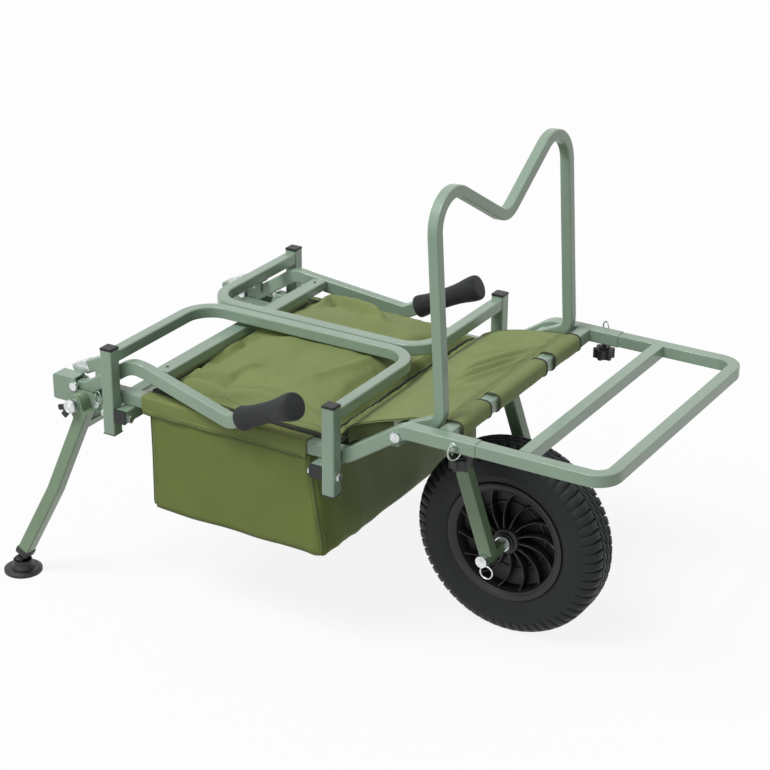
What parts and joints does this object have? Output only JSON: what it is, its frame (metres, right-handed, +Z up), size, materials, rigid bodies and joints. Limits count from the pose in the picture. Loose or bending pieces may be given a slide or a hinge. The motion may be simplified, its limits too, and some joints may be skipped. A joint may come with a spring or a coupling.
{
  "type": "fishing trolley",
  "caption": "Folding one-wheel fishing trolley: tube frame with underslung cloth bag, swing gates, M-shaped load guard, sliding front rack, folding handle and rear legs.",
  "frame": {"origin": "centre of the bounding box's base, on the ground between wheel and feet", "axes": "+X forward towards the wheel and front rack, +Y to the far side, +Z up"},
  "size_m": [1.2434, 0.7016, 0.8924],
  "materials": {
    "green_paint": "sage green powder coat, satin",
    "zinc": "bright zinc",
    "dark_steel": "painted rivet",
    "black_plastic": "moulded black",
    "grip_foam": "closed cell foam",
    "tyre": "black rubber",
    "canvas": "coated olive polyester cloth"
  },
  "bodies": {
    "frame": {"side_rail_near": "green_paint", "side_rail_far": "green_paint", "front_cross_member": "green_paint", "fork_cross_tube": "green_paint", "gate_cross_tube_back": "green_paint", "gate_cross_tube_front": "green_paint", "tube_plugs": "black_plastic", "bracket_near": "green_paint", "bracket_far": "green_paint", "fork_near": "green_paint", "fork_far": "green_paint", "axle": "zinc", "axle_collars": "zinc", "gate_bolts": "zinc", "guard_bolts": "zinc", "ring_pin_near": "zinc", "ring_pin_far": "zinc", "handle_bolts": "zinc", "leg_bolt_near": "zinc", "leg_bolt_far": "zinc", "leg_stops": "zinc", "wheel_lock_pins": "zinc", "bag": "canvas", "cover": "canvas", "apron": "canvas", "rail_sleeve_near": "canvas", "rail_sleeve_far": "canvas", "hem": "canvas"},
    "wheel": {"rim": "black_plastic", "tyre": "tyre", "valve": "black_plastic"},
    "gate_near_body": {"gate_near": "green_paint", "gate_caps_near": "black_plastic"},
    "gate_far_body": {"gate_far": "green_paint", "gate_caps_far": "black_plastic"},
    "guard_body": {"guard": "green_paint"},
    "rack_body": {"rack": "green_paint"},
    "handle_body": {"handle": "green_paint", "stub_ends": "zinc", "handle_rivets": "dark_steel", "grip_near": "grip_foam", "grip_far": "grip_foam"},
    "leg_frame": {"leg_near": "green_paint", "leg_far": "green_paint", "leg_cross_tube": "green_paint", "leg_plug_near": "black_plastic", "leg_plug_far": "black_plastic", "foot_pins": "zinc"},
    "foot_near_body": {"foot_near": "black_plastic"},
    "foot_far_body": {"foot_far": "black_plastic"},
    "rack_knob_near_body": {"rack_knob_near": "black_plastic"},
    "rack_knob_far_body": {"rack_knob_far": "black_plastic"},
    "leg_knob_near_body": {"leg_knob_near": "black_plastic"},
    "leg_knob_far_body": {"leg_knob_far": "black_plastic"}
  },
  "joints": [
    {"name": "wheel_spin", "type": "hinge", "parent": "frame", "child": "wheel", "pos_m": [0.31, 0, 0.186], "axis": [0, 1, 0], "continuous": true},
    {"name": "gate_near_open", "type": "hinge", "parent": "frame", "child": "gate_near_body", "pos_m": [-0.1245, -0.3, 0.379], "axis": [1, 0, 0], "range_deg": [0, 90]},
    {"name": "gate_far_open", "type": "hinge", "parent": "frame", "child": "gate_far_body", "pos_m": [-0.1245, 0.3, 0.379], "axis": [-1, 0, 0], "range_deg": [0, 90]},
    {"name": "guard_fold", "type": "hinge", "parent": "frame", "child": "guard_body", "pos_m": [0.228, 0, 0.475], "axis": [0, -1, 0], "range_deg": [0, 89]},
    {"name": "rack_slide", "type": "slide", "parent": "frame", "child": "rack_body", "axis": [1, 0, 0], "range_m": [-0.06, 0.035]},
    {"name": "handle_play", "type": "hinge", "parent": "frame", "child": "handle_body", "pos_m": [-0.455, 0, 0.408], "axis": [0, -1, 0], "range_deg": [0, 1.2]},
    {"name": "legs_fold", "type": "hinge", "parent": "frame", "child": "leg_frame", "pos_m": [-0.437, 0, 0.385], "axis": [0, 1, 0], "range_deg": [0, 50]},
    {"name": "foot_near_tilt", "type": "hinge", "parent": "leg_frame", "child": "foot_near_body", "pos_m": [-0.58535, -0.314, 0.0288], "axis": [0, 1, 0], "range_deg": [-15, 15]},
    {"name": "foot_far_tilt", "type": "hinge", "parent": "leg_frame", "child": "foot_far_body", "pos_m": [-0.58535, 0.314, 0.0288], "axis": [0, 1, 0], "range_deg": [-15, 15]},
    {"name": "rack_knob_near_turn", "type": "hinge", "parent": "frame", "child": "rack_knob_near_body", "pos_m": [0.345, -0.271, 0.45], "axis": [0, 0, 1], "continuous": true},
    {"name": "rack_knob_far_turn", "type": "hinge", "parent": "frame", "child": "rack_knob_far_body", "pos_m": [0.345, 0.271, 0.45], "axis": [0, 0, 1], "continuous": true},
    {"name": "leg_knob_near_turn", "type": "hinge", "parent": "frame", "child": "leg_knob_near_body", "pos_m": [-0.437, -0.32, 0.385], "axis": [0, 1, 0], "continuous": true},
    {"name": "leg_knob_far_turn", "type": "hinge", "parent": "frame", "child": "leg_knob_far_body", "pos_m": [-0.437, 0.32, 0.385], "axis": [0, 1, 0], "continuous": true}
  ]
}
